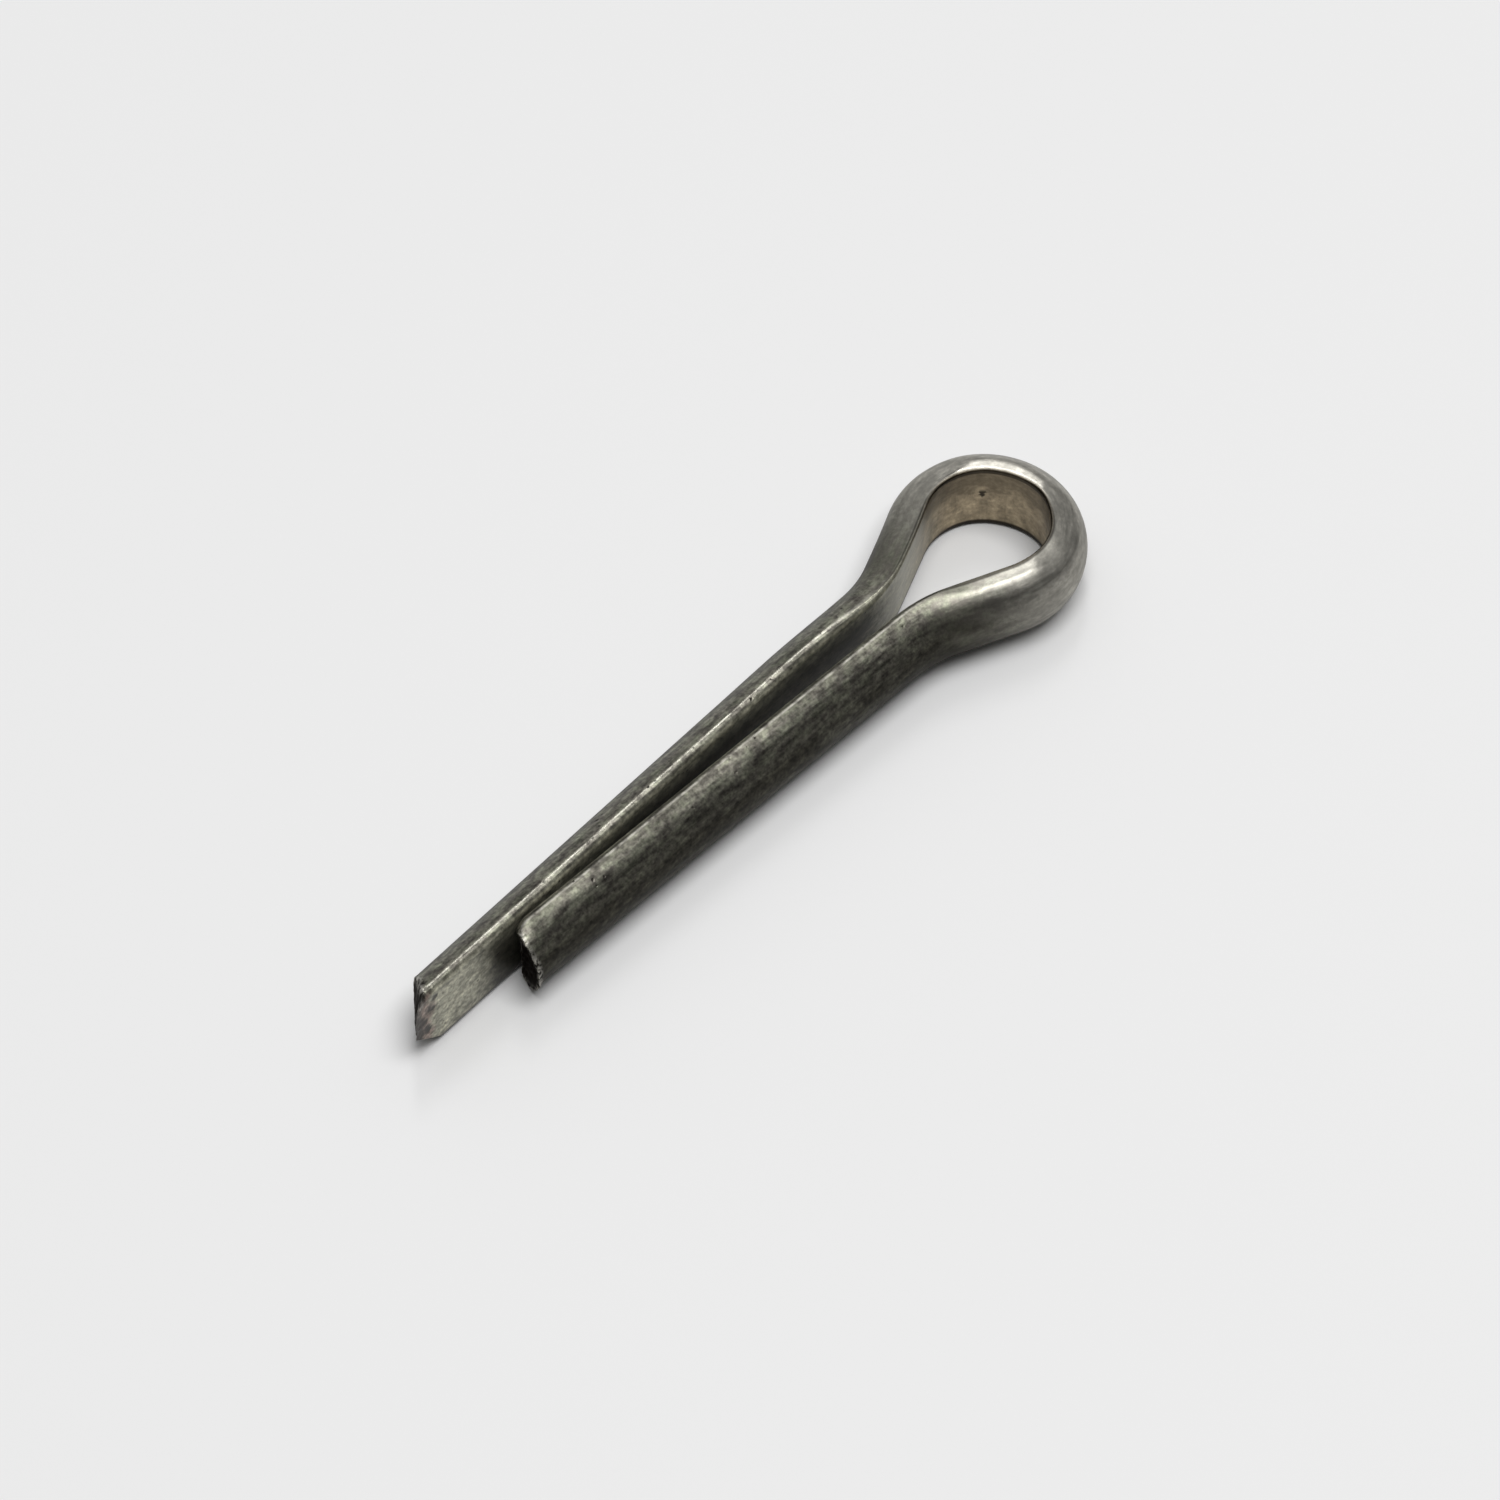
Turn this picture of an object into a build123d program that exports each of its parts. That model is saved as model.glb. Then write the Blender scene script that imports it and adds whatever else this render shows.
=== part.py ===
from build123d import *
from math import asin, cos, degrees, radians, sin, tan
import os

# A split cotter pin, bent from one length of half-round steel wire and lying flat.
# +X runs from the leg ends to the eye, +Z is up, and the origin is under the middle of the pin.

# Wire: its flat face is the inside of the pin, upright, and its round face is the outside.
wire_width = 2.8
wire_thickness = 1.28
corner_radius = 0.32

# Eye: the loop at the head, measured to the flat face.
eye_radius = 1.9

# Neck: the flanks of the eye close at this angle, then bend back to run along the legs.
neck_angle = 23.1
neck_radius = 5.1
neck_gap = 0.93

# Legs: straight runs beyond the neck. They spring towards each other as far as the tip gap.
short_leg = 16.4
leg_difference = 4.0
tip_gap = 0.07

# Cut ends: the long leg ends in a slanted cut with its underside bevelled, the short leg in a shallower cut.
long_cut_angle = 45
short_cut_angle = 18
bevel_length = 1.35
bevel_height = 1.05
cut_overrun = 1.0

long_leg = short_leg + leg_difference
closing_angle = degrees(asin((neck_gap - tip_gap) / 2 / short_leg))
bend_angle = neck_angle - closing_angle
neck_rise = neck_radius * (cos(radians(closing_angle)) - cos(radians(neck_angle)))
neck_run = neck_radius * (sin(radians(neck_angle)) - sin(radians(closing_angle)))
flank = (eye_radius * cos(radians(neck_angle)) - neck_rise - neck_gap / 2) / sin(radians(neck_angle))
eye_to_leg = eye_radius * sin(radians(neck_angle)) + flank * cos(radians(neck_angle)) + neck_run
leg_run = long_leg * cos(radians(closing_angle))
overall_length = eye_radius + wire_thickness + eye_to_leg + leg_run
leg_start_x = overall_length / 2 - eye_radius - wire_thickness - eye_to_leg
long_tip = (leg_start_x - leg_run, neck_gap / 2 - long_leg * sin(radians(closing_angle)), wire_width / 2)

# The round face is one arc, met by the two rounded corners.
corner_to_crown = wire_thickness - corner_radius
corner_height = wire_width / 2 - corner_radius
crown_radius = (corner_to_crown**2 + corner_height**2 - corner_radius**2) / (2 * (corner_to_crown - corner_radius))

os.makedirs("parts", exist_ok=True)

with BuildPart() as cotter_pin:
    with BuildLine() as flat_line:
        long_run = PolarLine(long_tip, long_leg, closing_angle)
        long_bend = JernArc(long_run @ 1, long_run % 1, neck_radius, bend_angle)
        long_flank = PolarLine(long_bend @ 1, flank, direction=long_bend % 1)
        eye = JernArc(long_flank @ 1, long_flank % 1, eye_radius, -(180 + 2 * neck_angle))
        short_flank = PolarLine(eye @ 1, flank, direction=eye % 1)
        short_bend = JernArc(short_flank @ 1, short_flank % 1, neck_radius, bend_angle)
        short_run = PolarLine(short_bend @ 1, short_leg + cut_overrun, direction=short_bend % 1)

    outward = (-sin(radians(closing_angle)), cos(radians(closing_angle)), 0)
    with BuildSketch(Plane(long_tip, x_dir=outward, z_dir=long_run % 0)) as section:
        with Locations((wire_thickness - crown_radius, 0)):
            Circle(crown_radius)
        Rectangle(wire_thickness, 2 * crown_radius, align=(Align.MIN, Align.CENTER), mode=Mode.INTERSECT)
        fillet(section.vertices(), corner_radius)
    sweep(path=flat_line.wires()[0])

    # The long leg's slanted cut leaves its flat face longest.
    cut_direction = (cos(radians(long_cut_angle)), -sin(radians(long_cut_angle)), 0)
    split(bisect_by=Plane(long_tip, z_dir=cut_direction), keep=Keep.TOP)

    # Its underside is bevelled up to the cut.
    bevel_start = (long_tip[0] + bevel_length, 0, 0)
    split(bisect_by=Plane(bevel_start, z_dir=(bevel_height, 0, bevel_length)), keep=Keep.TOP)

    # The short leg's cut leaves its round face longest. It is drawn from the flat face, +Y outward,
    # and stops halfway across the gap to the other leg.
    slope = tan(radians(short_cut_angle))
    flat_end = short_run.position_at(short_leg - wire_thickness * slope, PositionMode.LENGTH)
    reach = wire_thickness + cut_overrun
    beyond = reach * slope + 2 * cut_overrun
    with BuildSketch(Plane((flat_end.X, flat_end.Y, 0), x_dir=short_run % 1)) as short_cut:
        with BuildLine():
            Polyline(
                (-slope * tip_gap / 2, -tip_gap / 2),
                (reach * slope, reach),
                (beyond, reach),
                (beyond, -tip_gap / 2),
                close=True,
            )
        make_face()
    extrude(amount=wire_width, mode=Mode.SUBTRACT)

cotter_pin.part.label = "cotter_pin"
export_step(cotter_pin.part, "parts/cotter_pin.step")
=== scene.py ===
from math import asin, cos, pi, radians, sin
from types import SimpleNamespace

import bpy
from bpy.props import FloatProperty, FloatVectorProperty, IntProperty, PointerProperty, StringProperty
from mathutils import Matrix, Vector


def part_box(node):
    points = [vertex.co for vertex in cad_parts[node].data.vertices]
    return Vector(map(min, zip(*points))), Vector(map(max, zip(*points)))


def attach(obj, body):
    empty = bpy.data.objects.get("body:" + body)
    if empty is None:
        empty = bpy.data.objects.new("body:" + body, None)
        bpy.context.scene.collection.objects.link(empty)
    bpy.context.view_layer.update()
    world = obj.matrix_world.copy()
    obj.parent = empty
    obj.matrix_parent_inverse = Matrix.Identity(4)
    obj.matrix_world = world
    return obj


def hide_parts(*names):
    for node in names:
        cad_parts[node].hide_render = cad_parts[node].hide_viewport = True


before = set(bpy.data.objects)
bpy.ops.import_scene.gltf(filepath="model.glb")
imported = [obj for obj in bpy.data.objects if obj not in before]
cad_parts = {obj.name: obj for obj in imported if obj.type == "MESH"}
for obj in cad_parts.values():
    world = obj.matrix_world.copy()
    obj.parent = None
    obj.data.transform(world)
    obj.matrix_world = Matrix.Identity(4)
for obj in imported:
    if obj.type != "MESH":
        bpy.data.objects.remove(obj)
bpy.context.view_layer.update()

bl_info = {
    "name": "Cotter Pin",
    "version": (1, 0, 0),
    "blender": (4, 5, 0),
    "location": "3D View > Sidebar > Cotter Pin",
    "description": "Bends a split cotter pin from half-round steel wire and sets it on a pale stage",
    "category": "Add Mesh",
}

NODE = "cotter_pin"
PIN_LOW, PIN_HIGH = (Vector(corner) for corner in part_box(NODE))
MM = 0.001

MATH = "ShaderNodeMath"
VECTOR = "ShaderNodeVectorMath"
RANGE = "ShaderNodeMapRange"
CLAMP = "ShaderNodeClamp"
MIX = "ShaderNodeMix"
NOISE = "ShaderNodeTexNoise"
SMOOTH = {"interpolation_type": "SMOOTHSTEP"}
COLOURS = {"data_type": "RGBA", "out": 2}

# Numbers that the wire's mesh keeps at each point, for its finish.
POINT_NUMBERS = ("cut_end", "rim", "burnished", "eye_share", "loop_share", "past_eye")

# Shares of the wire's thickness: the run past each cut in which the rings close, the middle that they close
# on, and the length over which a cut's slant fades.
LEAD_SHARE = 0.8
MIDDLE_SHARE = 0.45
SLANT_SHARE = 4.0

# The share of a ring's points that lies on the flat face.
FLAT_SHARE = 0.22

# How much of its slope the eye's crest loses, how much of a tool flat is at full depth, how much the waves
# are squeezed along the wire, how much of a tear flares out, and how many rings wide a torn rim is.
CREST_LOSS = 0.9
FULL_FLAT_SHARE = 0.3
WAVE_SQUEEZE = 0.25
FLARE_SHARE = 0.5
RIM_RINGS = 3.0

# How far a surface has to face up or down to be burnished and painted brighter as a highlight: where that
# starts and is full.
BURNISH_AND_HIGHLIGHT_FACING = (0.975, 0.999)

# Edges that bend more than this are sharp.
CREASE = radians(38)

# Where the finish changes, as a start and an end in millimetres. OUT is from the flat face, UP from the
# middle of the wire's width, TIP from the long tip, and PLACE along the wire from the middle of the eye,
# towards the short leg. REACH is a distance from such a place.
FLAT_OUT = (0.03, 0.14)
SCALE_OUT = (0.5, 1.05)
# Where painted shade makes the scale fuller towards the bottom of the crown.
SCALE_SHADE_UP = (0.5, 1.15)
DULL_PLACE = (4.0, 8.0)
DULL_OUT = (0.35, 0.75)
PITTED_TIP = (0.45, 1.4)
TORN_TIP = (1.0, 1.3)
LIP_TIP = (0.56, 0.68)
LIP_UP = (0.6, 1.0)
# Where painted shade darkens the top of the eye's wall.
WALL_SHADE_UP = (1.3, 1.7)
CHIP_PLACE = -1.45
CHIP_UP = 0.02
CHIP_REACH = (0.13, 0.24)
CHIP_HEIGHT = (0.2, 0.36)
# Where painted shade darkens the gap between the legs.
GAP_SHADE_TIP = (2.3, 3.8)
GAP_SHADE_REACH = (5.5, 8.5)
GAP_SHADE_UP = (0.55, 1.2)
RIM_PLACE = -1.2
POLISH_REACH = (1.4, 2.6)
# Where painted shade darkens the eye's inner top edge.
EDGE_REACH = (1.6, 2.8)
EDGE_WIDTH = (0.04, 0.13)
EDGE_FADE = 0.06
EDGE_PLACE = (-3.6, -2.4)
EDGE_UP = (1.28, 1.13)
EDGE_SOFT = 0.03
# Where painted shade darkens the lower corners.
LOWER_CORNER_SHADE_UP = (-1.22, -1.08)

# How deep the marks of the finish are.
RELIEF_DEPTH = 0.006 * MM

# The stage, in metres. Directions are right, away and up, as the camera sees them. The room's levels go from
# its dimmest side to its brightest, each with its share of the way.
FLOOR_HALF = 1.5
FLOOR_DROP = 0.004 * MM
LAMP_DISTANCE = 0.6
STRIP_FROM = (0.0, 0.6, 0.8)
STRIP_SIZE = (0.08, 0.2)
KEY_FROM = (0.16, -0.1, 1.0)
KEY_SIZE = (0.36, 0.36)
ROOM_TOP = (-0.15, 0.5, 0.85)
ROOM_LEVELS = ((0.0, 0.05), (0.5, 0.07), (0.67, 0.18), (0.79, 0.38), (0.88, 0.6), (0.97, 0.85), (1.0, 1.0))
SENSOR_WIDTH = 36
NEAR_CLIP = 0.01


def linear(hex_colour):
    """Turns an sRGB hex colour into linear red, green, blue and alpha."""
    channels = [int(hex_colour[i : i + 2], 16) / 255 for i in (1, 3, 5)]
    return [c / 12.92 if c <= 0.04045 else ((c + 0.055) / 1.055) ** 2.4 for c in channels] + [1.0]


def add(tree, kind, *values, out=0, **settings):
    """Adds a node, fills its inputs in order with values or links, and returns one of its outputs."""
    node = tree.nodes.new(kind)
    for name, value in settings.items():
        setattr(node, name, value)
    for socket, value in zip([s for s in node.inputs if s.enabled], values):
        if isinstance(value, bpy.types.NodeSocket):
            tree.links.new(value, socket)
        elif value is not None:
            socket.default_value = value
    return node if out is None else node.outputs[out]


def length(name, description, millimetres):
    """A length that a user can change."""
    return FloatProperty(name=name, description=description, default=millimetres * MM, unit="LENGTH")


def angle(name, description, degrees):
    """An angle that a user can change."""
    return FloatProperty(name=name, description=description, default=radians(degrees), subtype="ANGLE")


def colour(name, description, hex_colour):
    """A colour that a user can change."""
    return StringProperty(name=name, description=f"{description}, sRGB hex", default=hex_colour)


def power(name, description, watts):
    """A lamp's power that a user can change."""
    return FloatProperty(name=name, description=description, default=watts, unit="POWER")


class WireSection(bpy.types.PropertyGroup):
    """Sizes of the half-round wire."""

    wire_width: length("Wire Width", "Width of the wire across its flat face", (PIN_HIGH.z - PIN_LOW.z) / MM)
    wire_thickness: length("Wire Thickness", "From the flat face to the crown of the round face", 1.28)
    leg_corner: length("Leg Corner", "Rounding of the wire's corners along the legs", 0.24)
    eye_corner: length("Eye Corner", "Rounding of the corners where the mandrel sharpened them", 0.16)


class BendSizes(bpy.types.PropertyGroup):
    """Sizes of the bends and legs."""

    neck_angle: angle("Neck Angle", "Slope of the eye's flanks to the pin's axis", 23.1)
    neck_radius: length("Neck Radius", "Bend from flank to leg, to the flat face", 5.1)
    neck_gap: length("Neck Gap", "Gap between the legs at the neck", 0.93)
    tip_gap: length("Tip Gap", "Gap between the legs at the short leg's end", 0.07)
    short_leg: length("Short Leg", "Straight run of the short leg", 16.4)
    leg_difference: length("Leg Difference", "How much longer the long leg is", 4.0)


class FormingMarks(bpy.types.PropertyGroup):
    """What bending and the tools did to the wire.

    Places count along it from the eye's middle towards the short leg.
    """

    loop_full: length("Loop Full", "How far the loop's own finish is full", 2.4)
    loop_end: length("Loop End", "Where the loop's own finish ends", 6.4)
    slope: FloatProperty(
        name="Shoulder Slope",
        description="Fall of the eye's upper shoulder, for each length outward",
        default=0.5,
    )
    slope_start: length("Slope Start", "Place where the shoulder starts to slope", -10.5)
    slope_full: length("Slope Full", "Place from which the slope is full", -5.5)
    slope_fade: length("Slope Fade", "Place from which the slope fades", 2.5)
    slope_end: length("Slope End", "Place where the slope ends", 3.7)
    slope_soft: length("Slope Softness", "Rounding between the top and the sloping shoulder", 0.6)
    crest_place: length("Crest Place", "Place where the eye's rim stays level", -0.6)
    crest_full: length("Crest Full", "How far the rim stays level", 0.4)
    crest_end: length("Crest End", "Where the slope is full again", 2.0)
    eye_press: length("Eye Press", "How far forming pressed the eye's top flat", 0.1)
    rim_flat_place: length("Rim Flat Place", "Middle of the tool flat on the far rim", -1.2)
    rim_flat_reach: length("Rim Flat Reach", "Reach of the tool flat on the far rim", 2.4)
    flank_flat_place: length("Flank Flat Place", "Middle of the tool flat on the near flank", 4.2)
    flank_flat_reach: length("Flank Flat Reach", "Reach of the tool flat on the near flank", 2.2)
    bend_thinning: length("Bend Thinning", "How much bending thinned the wire beside the eye", 0.13)
    thin_place: length("Thin Place", "Place where the wire is thinnest", 1.3)
    thin_full: length("Thin Full", "How far the thinning is full", 0.4)
    thin_end: length("Thin End", "Where the thinning ends", 2.4)
    flank_lean: length("Flank Lean", "How far the far flank's upper edge leans inward", 0.15)
    lean_place: length("Lean Place", "Place where the flank leans most", -6.4)
    lean_full: length("Lean Full", "How far the lean is full", 1.0)
    lean_end: length("Lean End", "Where the lean ends", 5.0)


class EndSizes(bpy.types.PropertyGroup):
    """Sizes of the two sheared ends."""

    long_cut: angle("Long Cut", "Slant of the long leg's end", 45)
    short_cut: angle("Short Cut", "Slant of the short leg's end", 18)
    bevel_length: length("Bevel Length", "Length of the bevel under the long leg's end", 1.35)
    bevel_height: length("Bevel Height", "Height of the bevel under the long leg's end", 1.05)
    corner_roll: length("Corner Roll", "How far the long end's upper corner is rolled back", 0.32)
    edge_forward: length("Edge Forward", "How far the short end's upper edge stands forward", 0.22)
    roll_reach: length("Roll Reach", "How far the shear rolled the short end over", 0.55)
    roll_in: length("Roll In", "How far the short end's flat side is rolled in", 0.1)
    roll_down: length("Roll Down", "How far the short end's flat side is rolled down", 0.22)
    drag_out: length("Drag Out", "How far the short end's round side is dragged out", 0.05)
    drag_down: length("Drag Down", "How far the short end's round side is dragged down", 0.12)
    burr: length("Burr", "How far the torn edge of a cut stands out", 0.09)
    tear_size: length("Tear Size", "Typical width of the teeth along a torn rim", 0.29)


class MeshDetail(bpy.types.PropertyGroup):
    """How finely the wire is divided and how uneven it is."""

    ring_spacing: length("Ring Spacing", "Distance between the rings of the mesh", 0.08)
    points_around: IntProperty(name="Points Around", description="Points in each ring", default=96)
    unevenness: length("Unevenness", "Depth of the shallow waves left by drawing", 0.014)
    wave_size: length("Wave Size", "Typical width of those waves", 1.1)
    weld: length("Weld", "Neighbouring points closer than this become one", 0.002)


class SteelColours(bpy.types.PropertyGroup):
    """Colours of the drawn steel."""

    steel: colour("Steel", "Drawn steel of the legs' shoulders", "#8b877e")
    olive: colour("Olive", "Olive tint in the legs' steel", "#7e7f71")
    bent: colour("Bent", "Cleaner steel of the bent eye", "#b8b5ac")
    # Also the colour of the painted highlights on up-facing corners and the painted glints on the cut rims.
    bright: colour("Bright", "Steel burnished by the dies and tools", "#b9b6ae")
    # The scale colour also paints shade, fuller towards the bottom of the crown.
    scale: colour("Scale", "Dark drawing scale left on the crown", "#2c2a24")
    flat: colour("Flat", "Rolled flat face with its greenish film", "#a09e8d")
    film: colour("Film", "Brown film inside the eye", "#a5977f")
    # This colour also paints shade: atop the eye's wall, in the gap between the legs, along the eye's inner
    # top edge and the lower corners.
    dirt_and_shade: colour("Dirt", "Dirt held in pits and scratches", "#1f1c18")
    sheared: colour("Sheared", "Torn steel of the cut ends", "#221e1b")
    torn: colour("Torn", "Brown torn lip beside the long cut", "#8f7d74")


class SteelPatterns(bpy.types.PropertyGroup):
    """Sizes of the patterns in the steel's finish."""

    draw_spacing: length("Draw Line Spacing", "Typical distance between draw lines", 0.15)
    cloud_size: length("Cloud Size", "Typical width of the cloudy scale", 0.77)
    blotch_size: length("Blotch Size", "Typical width of small blotches", 0.25)
    patch_size: length("Patch Size", "Typical width of stained and torn patches", 0.42)
    grain_size: length("Grain Size", "Typical width of the surface's grain", 0.125)
    stain_size: length("Stain Size", "Typical width of the runs on the eye's wall", 0.42)
    pit_spacing: length("Pit Spacing", "Typical distance between pits", 0.36)


class StageSettings(bpy.types.PropertyGroup):
    """Camera, floor and light."""

    floor: colour("Floor", "Pale floor", "#e9e9e9")
    azimuth: angle("Azimuth", "Turn of the view from +Y towards +X", 46.87)
    elevation: angle("Elevation", "Height of the camera above the floor", 53.3)
    distance: length("Distance", "From camera to target", 460)
    view_width: length("View Width", "Width of the square frame at the target", 45.45)
    target: FloatVectorProperty(
        name="Target",
        description="Point on the floor in the middle of the frame",
        default=(1.149 * MM, 0.605 * MM, 0),
        subtype="TRANSLATION",
    )
    room: FloatProperty(name="Room", description="Strength of the room's own light", default=0.66)
    strip: power("Strip", "Power of the narrow lamp behind the pin", 0.35)
    key: power("Key", "Power of the wide lamp overhead", 2.6)


def bend(points, heading, radius, turn, step):
    """Runs points along an arc from the last point and returns the new heading.

    A positive turn is to the left.
    """
    count = max(2, round(abs(turn) * radius / step))
    side = 1 if turn > 0 else -1
    centre = points[-1] + radius * side * Vector((-sin(heading), cos(heading), 0))
    for i in range(1, count + 1):
        facing = heading + turn * i / count
        points.append(centre - radius * side * Vector((-sin(facing), cos(facing), 0)))
    return heading + turn


def run(points, heading, distance):
    """Runs straight on from the last point."""
    points.append(points[-1] + distance * Vector((cos(heading), sin(heading), 0)))


def flat_face_line(thickness, bends, lead, step):
    """The line that the middle of the wire's flat face follows, from tip to tip, with a lead at each end.

    Returns its points, and the lengths along it that the wire's shape follows.
    """
    closing = asin((bends.neck_gap - bends.tip_gap) / 2 / bends.short_leg)
    long_leg = bends.short_leg + bends.leg_difference
    turn = bends.neck_angle - closing
    rise = bends.neck_radius * (cos(closing) - cos(bends.neck_angle))
    eye_radius = (PIN_HIGH.y - PIN_LOW.y) / 2 - thickness
    flank = (eye_radius * cos(bends.neck_angle) - rise - bends.neck_gap / 2) / sin(bends.neck_angle)
    tip = Vector((PIN_LOW.x, bends.neck_gap / 2 - long_leg * sin(closing), (PIN_LOW.z + PIN_HIGH.z) / 2))
    points = [tip - lead * Vector((cos(closing), sin(closing), 0))]
    run(points, closing, lead + long_leg)
    heading = bend(points, closing, bends.neck_radius, turn, step)
    run(points, heading, flank)
    heading = bend(points, heading, eye_radius, -(pi + 2 * bends.neck_angle), step)
    run(points, heading, flank)
    heading = bend(points, heading, bends.neck_radius, turn, step)
    run(points, heading, bends.short_leg + lead)
    half_eye = eye_radius * (pi / 2 + bends.neck_angle)
    neck_arc = bends.neck_radius * turn
    eye_middle = long_leg + neck_arc + flank + half_eye
    lengths = {
        "lead": lead,
        "wire_length": 2 * eye_middle - bends.leg_difference,
        "eye_middle": eye_middle,
        "eye_reach": half_eye + flank,
        "neck_end": half_eye + flank + neck_arc,
    }
    return points, lengths


def nearness(tree, past_eye, place, full, end):
    """1 within a full reach of a place along the wire, fading to 0 at its end."""
    distance = add(tree, MATH, past_eye, place, operation="SUBTRACT")
    distance = add(tree, MATH, distance, operation="ABSOLUTE")
    return add(tree, RANGE, distance, full, end, 1.0, 0.0, **SMOOTH)


def ring_points(tree, given):
    """Cuts the line into rings and each ring into points.

    Returns the skin over them, and for each point its ring's place, heading and length along, and its own
    share of the way round.
    """
    line = add(
        tree, "GeometryNodeResampleCurve", given["Geometry"], None, given["ring_spacing"], mode="LENGTH"
    )
    on_line = add(tree, "GeometryNodeCaptureAttribute", line, out=None)
    for kind, name in (("VECTOR", "Place"), ("VECTOR", "Heading"), ("FLOAT", "Along")):
        on_line.capture_items.new(kind, name)
    parameter = add(tree, "GeometryNodeSplineParameter", out=None)
    tree.links.new(add(tree, "GeometryNodeInputPosition"), on_line.inputs["Place"])
    tree.links.new(add(tree, "GeometryNodeInputTangent"), on_line.inputs["Heading"])
    tree.links.new(parameter.outputs["Length"], on_line.inputs["Along"])
    ring = add(tree, "GeometryNodeCurvePrimitiveCircle", given["points_around"], mode="RADIUS")
    on_ring = add(tree, "GeometryNodeCaptureAttribute", ring, out=None)
    on_ring.capture_items.new("FLOAT", "Around")
    tree.links.new(parameter.outputs["Factor"], on_ring.inputs["Around"])
    skin = add(tree, "GeometryNodeCurveToMesh", on_line.outputs["Geometry"], on_ring.outputs["Geometry"])
    along = add(tree, MATH, on_line.outputs["Along"], given["lead"], operation="SUBTRACT")
    return skin, on_line.outputs["Place"], on_line.outputs["Heading"], along, on_ring.outputs["Around"]


def half_round(tree, given, half_width, around, eye_share):
    """The section: a crown arc and a flat, with rounded corners that are sharper round the eye.

    Returns each point's place out from the flat face and up, and how far its surface faces out and up.
    """
    corner_change = add(tree, MATH, given["eye_corner"], given["leg_corner"], operation="SUBTRACT")
    corner = add(tree, MATH, eye_share, corner_change, given["leg_corner"], operation="MULTIPLY_ADD")

    # The crown's radius, from the corners that it has to touch.
    corner_up = add(tree, MATH, half_width, corner, operation="SUBTRACT")
    corner_in = add(tree, MATH, given["wire_thickness"], corner, operation="SUBTRACT")
    squares = add(tree, MATH, corner_up, corner_up, operation="MULTIPLY")
    squares = add(tree, MATH, corner_in, corner_in, squares, operation="MULTIPLY_ADD")
    corner_square = add(tree, MATH, corner, corner, operation="MULTIPLY")
    squares = add(tree, MATH, squares, corner_square, operation="SUBTRACT")
    twice = add(tree, MATH, corner_in, corner, operation="SUBTRACT")
    twice = add(tree, MATH, twice, 2.0, operation="MULTIPLY")
    crown = add(tree, MATH, squares, twice, operation="DIVIDE")
    inner_crown = add(tree, MATH, crown, corner, operation="SUBTRACT")
    crown_centre = add(tree, MATH, given["wire_thickness"], crown, operation="SUBTRACT")
    corner_from_centre = add(tree, MATH, corner, crown_centre, operation="SUBTRACT")
    crown_limit = add(tree, MATH, corner_up, corner_from_centre, operation="ARCTAN2")
    lower_limit = add(tree, MATH, crown_limit, -1.0, operation="MULTIPLY")

    # Points go across the flat first, then turn round the crown.
    facing = add(tree, RANGE, around, FLAT_SHARE, 1.0, pi, -pi)
    flat_side = add(tree, RANGE, around, 0.0, FLAT_SHARE, -1.0, 1.0)
    on_crown = add(tree, CLAMP, facing, lower_limit, crown_limit)
    facing_out = add(tree, MATH, facing, operation="COSINE")
    facing_up = add(tree, MATH, facing, operation="SINE")
    out = add(tree, MATH, on_crown, operation="COSINE")
    out = add(tree, MATH, out, inner_crown, crown_centre, operation="MULTIPLY_ADD")
    out = add(tree, MATH, facing_out, corner, out, operation="MULTIPLY_ADD")
    height = add(tree, MATH, on_crown, operation="SINE")
    height = add(tree, MATH, height, inner_crown, operation="MULTIPLY")
    height = add(tree, MATH, height, flat_side, operation="MULTIPLY")
    height = add(tree, MATH, facing_up, corner, height, operation="MULTIPLY_ADD")
    return out, height, facing_out, facing_up


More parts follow.
